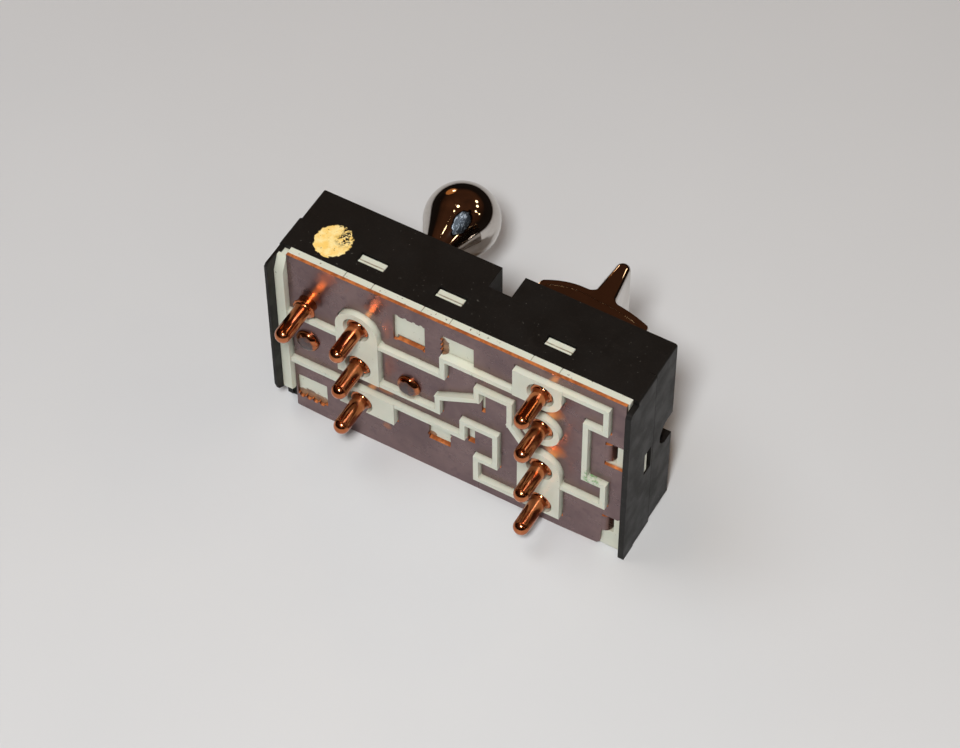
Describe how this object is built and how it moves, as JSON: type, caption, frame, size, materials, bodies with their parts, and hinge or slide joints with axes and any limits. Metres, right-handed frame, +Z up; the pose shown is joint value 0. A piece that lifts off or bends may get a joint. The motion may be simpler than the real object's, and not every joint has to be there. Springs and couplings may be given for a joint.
{
  "type": "lever switch",
  "caption": "Plug-in electrical switch with a tilting ball lever and a rocking blade lever on a black case, and a moulded contact base with bullet terminals.",
  "frame": {"origin": "centre of the lever face of the case, which is the face held against a panel", "axes": "+X along the case from the ball lever to the blade lever, +Y out of the lever face along the levers, +Z up, across the case as it stands on its long wall"},
  "size_m": [0.0896, 0.0694, 0.0546],
  "materials": {
    "case": "fine moulded black, satin",
    "ivory": "ivory moulded plastic",
    "plate": "tarnished pressed copper",
    "terminal": "bright copper",
    "rivet": "bright copper",
    "chrome": "polished chrome plate",
    "steel": "plain steel",
    "spring": "spring steel",
    "cap": "black moulded cap",
    "slider": "natural nylon",
    "contact": "copper strip"
  },
  "bodies": {
    "case": {"case_shell": "case", "contact_base": "ivory", "outer_bus_plate": "plate", "left_link_plate": "plate", "centre_link_plate": "plate", "terminal_pin_1": "terminal", "terminal_pin_2": "terminal", "terminal_pin_3": "terminal", "terminal_pin_4": "terminal", "terminal_pin_5": "terminal", "terminal_pin_6": "terminal", "terminal_pin_7": "terminal", "terminal_pin_8": "terminal", "left_plate_rivet": "rivet", "centre_plate_rivet": "rivet", "blade_pivot_pin": "steel", "left_lengthwise_spring": "spring", "right_lengthwise_spring": "spring", "upper_crosswise_spring": "spring", "lower_crosswise_spring": "spring", "left_blade_spring": "spring", "right_blade_spring": "spring"},
    "gimbal": {"gimbal_ring": "steel", "gimbal_pivot_pins": "steel", "stem_cross_pin": "steel"},
    "ball_lever": {"ball_knob": "chrome", "ball_lever_stem": "steel", "ball_dust_cap": "cap"},
    "lengthwise_carriage": {"lengthwise_slider": "slider", "lengthwise_contacts": "contact"},
    "crosswise_carriage": {"crosswise_slider": "slider", "crosswise_contact": "contact"},
    "blade": {"blade_lever": "chrome"},
    "blade_carriage": {"blade_slider": "slider", "blade_contacts": "contact"}
  },
  "joints": [
    {"name": "ball_tilt_crosswise", "type": "hinge", "parent": "case", "child": "gimbal", "pos_m": [-0.02503, -0.00543, 0], "axis": [1, 0, 0], "range_deg": [-12, 12], "stiffness_Nm_per_rad": 0.35},
    {"name": "ball_tilt_lengthwise", "type": "hinge", "parent": "gimbal", "child": "ball_lever", "pos_m": [-0.02503, -0.00543, 0], "axis": [0, 0, 1], "range_deg": [-12, 12], "stiffness_Nm_per_rad": 0.35},
    {"name": "lengthwise_slide", "type": "slide", "parent": "case", "child": "lengthwise_carriage", "axis": [1, 0, 0], "range_m": [-0.00127, 0.00127], "deforming": ["left_lengthwise_spring", "right_lengthwise_spring"]},
    {"name": "crosswise_slide", "type": "slide", "parent": "case", "child": "crosswise_carriage", "axis": [0, 0, 1], "range_m": [-0.00175, 0.00175], "deforming": ["upper_crosswise_spring", "lower_crosswise_spring"]},
    {"name": "blade_rock", "type": "hinge", "parent": "case", "child": "blade", "pos_m": [0.02307, -0.00643, 0], "axis": [0, 0, 1], "range_deg": [-8, 8], "stiffness_Nm_per_rad": 0.4},
    {"name": "blade_slide", "type": "slide", "parent": "case", "child": "blade_carriage", "axis": [1, 0, 0], "range_m": [-0.00095, 0.00095], "deforming": ["left_blade_spring", "right_blade_spring"]}
  ],
  "couplings": [
    {"joint": "lengthwise_slide", "follows": "ball_tilt_lengthwise", "m_per_rad": 0.006},
    {"joint": "crosswise_slide", "follows": "ball_tilt_crosswise", "m_per_rad": -0.0083},
    {"joint": "blade_slide", "follows": "blade_rock", "m_per_rad": 0.0067}
  ]
}
